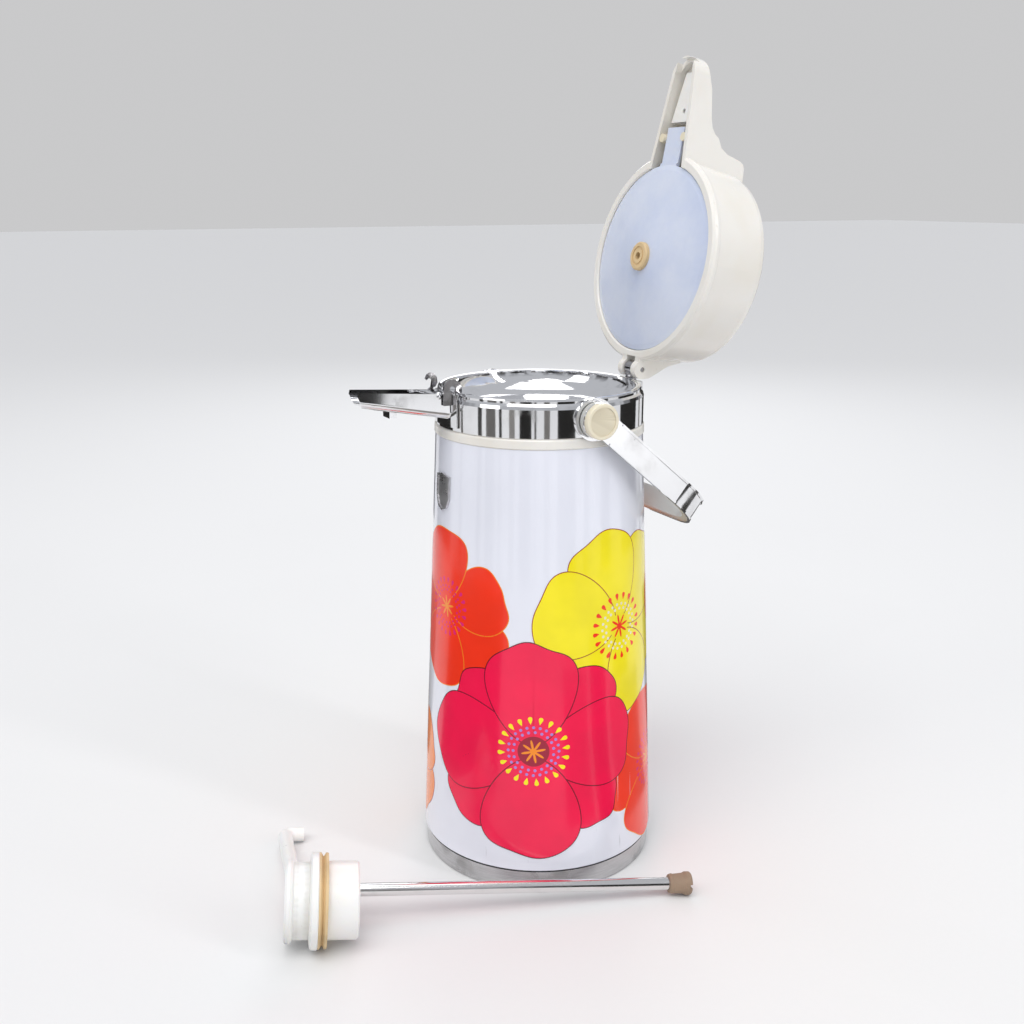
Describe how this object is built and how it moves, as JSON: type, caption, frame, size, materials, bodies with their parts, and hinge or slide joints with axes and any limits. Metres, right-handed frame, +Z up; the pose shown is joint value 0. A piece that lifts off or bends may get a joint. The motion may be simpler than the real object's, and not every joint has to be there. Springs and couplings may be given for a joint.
{
  "type": "pump vacuum jug",
  "caption": "Tapered flower-print pump vacuum jug, lid open, bail handle down, lift-out stopper with dip tube lying beside it.",
  "frame": {"origin": "centre of the base's resting face, on the jug's axis", "axes": "+Z up along the jug's axis, -Y towards the pouring trough, +Y towards the lid hinge, handle pivots on +X and -X"},
  "size_m": [0.1921, 0.3317, 0.4983],
  "materials": {
    "enamel_white": "glossy white enamel",
    "chrome": "mirror chrome plate",
    "chrome_dark": "dark chrome",
    "plastic_ivory_white": "glossy warm white",
    "plastic_white": "glossy cool white",
    "plastic_clear_blue": "milky translucent",
    "cap_ivory": "satin ivory",
    "rubber_tan": "satin silicone",
    "rubber_brown": "matt",
    "rubber_black": "matt",
    "plastic_grey": "fine grain",
    "silvered_glass": "silvered",
    "steel_tube": "polished",
    "steel_spring": "drawn wire"
  },
  "bodies": {
    "jug": {"base_ring": "steel_tube", "base_cover": "plastic_grey", "base_seam_band": "rubber_black", "body_shell": "enamel_white", "badge_shield": "chrome", "shoulder_ring": "plastic_ivory_white", "collar": "chrome", "mouth_funnel": "chrome", "pour_trough": "chrome", "trough_ear": "chrome", "trough_peg": "chrome", "latch_pin": "chrome", "hinge_bracket": "plastic_ivory_white", "hinge_knuckle": "chrome_dark", "hinge_pin": "steel_spring", "liner_outer_glass": "silvered_glass", "liner_inner_glass": "silvered_glass", "liner_cushion": "rubber_brown", "neck_packing": "rubber_tan", "handle_hub_left": "chrome", "handle_hub_right": "chrome", "handle_stud_left": "steel_spring", "handle_stud_right": "steel_spring"},
    "handle": {"handle_band": "chrome", "handle_grip": "plastic_white", "handle_cap_left": "cap_ivory", "handle_cap_right": "cap_ivory"},
    "lid": {"lid_shell": "plastic_ivory_white", "lid_bead": "plastic_ivory_white", "lid_disc": "plastic_clear_blue", "outlet_packing": "rubber_tan", "bumper_left": "cap_ivory", "bumper_right": "cap_ivory", "beak_plate": "plastic_white", "beak_screw": "steel_spring", "pump_base": "plastic_white", "air_outlet_tube": "plastic_white", "pump_bellows": "rubber_tan", "pump_spring": "steel_spring"},
    "pump_button": {"push_plate": "plastic_ivory_white"},
    "lock": {"lock_slider": "plastic_ivory_white"},
    "latch": {"latch_hook": "chrome_dark"},
    "stopper": {"stopper_body": "plastic_white", "stopper_lower": "plastic_white", "stopper_gasket": "rubber_tan", "dip_tube": "steel_tube", "dip_tube_foot": "rubber_brown", "delivery_pipe": "plastic_white"}
  },
  "joints": [
    {"name": "lid_hinge", "type": "hinge", "parent": "jug", "child": "lid", "pos_m": [0, 0.069, 0.3095], "axis": [1, 0, 0], "range_deg": [0, 101]},
    {"name": "handle_swing", "type": "hinge", "parent": "jug", "child": "handle", "pos_m": [0, 0, 0.2928], "axis": [1, 0, 0], "range_deg": [0, 41]},
    {"name": "pump_push", "type": "slide", "parent": "lid", "child": "pump_button", "axis": [0, -0.9816, 0.1908], "range_m": [0, 0.02], "stiffness_N_per_m": 300, "springref_m": -0.01, "deforming": ["pump_bellows", "pump_spring"]},
    {"name": "lock_slide", "type": "slide", "parent": "lid", "child": "lock", "axis": [-1, 0, 0], "range_m": [0, 0.006]},
    {"name": "latch_swing", "type": "hinge", "parent": "jug", "child": "latch", "pos_m": [-0.0122, -0.0682, 0.3005], "axis": [-1, 0, 0], "range_deg": [0, 12], "stiffness_Nm_per_rad": 0.02, "springref_deg": -17.19},
    {"name": "stopper_lift", "type": "slide", "parent": "jug", "child": "stopper", "axis": [0, 0, 1], "range_m": [0, 0.35]}
  ]
}
